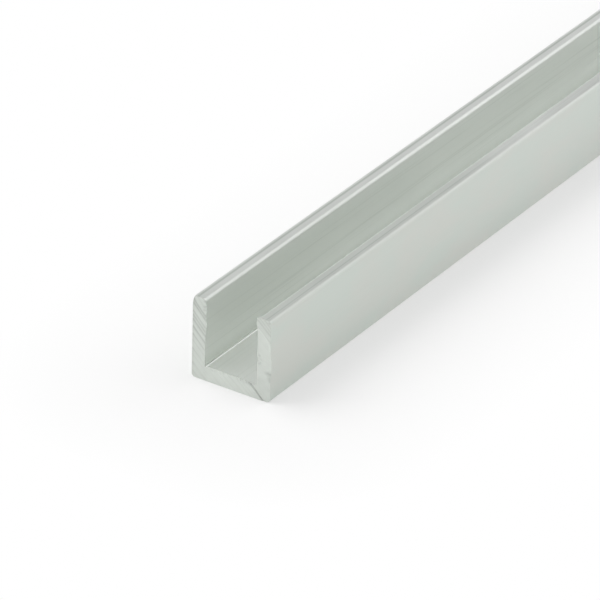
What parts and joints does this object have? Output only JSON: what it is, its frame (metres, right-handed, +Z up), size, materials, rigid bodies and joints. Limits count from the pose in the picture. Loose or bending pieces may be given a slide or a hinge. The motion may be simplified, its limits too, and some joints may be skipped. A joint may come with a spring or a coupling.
{
  "type": "aluminium u-channel profile",
  "caption": "Straight extruded aluminium U-channel with equal legs, small edge radii and an open groove along its whole length for edging, guiding or holding a panel.",
  "frame": {"origin": "middle of the web's underside, halfway along the bar, where it rests on a level floor", "axes": "+Y along the bar, +Z up out of the open groove, +X across the section"},
  "size_m": [0.012, 0.5, 0.012],
  "materials": {
    "mill_aluminium": "mill finish as extruded, satin, with faint lines along the bar; sawn and unfinished on both ends"
  },
  "bodies": {
    "root": {"u_channel": "mill_aluminium"}
  },
  "joints": []
}
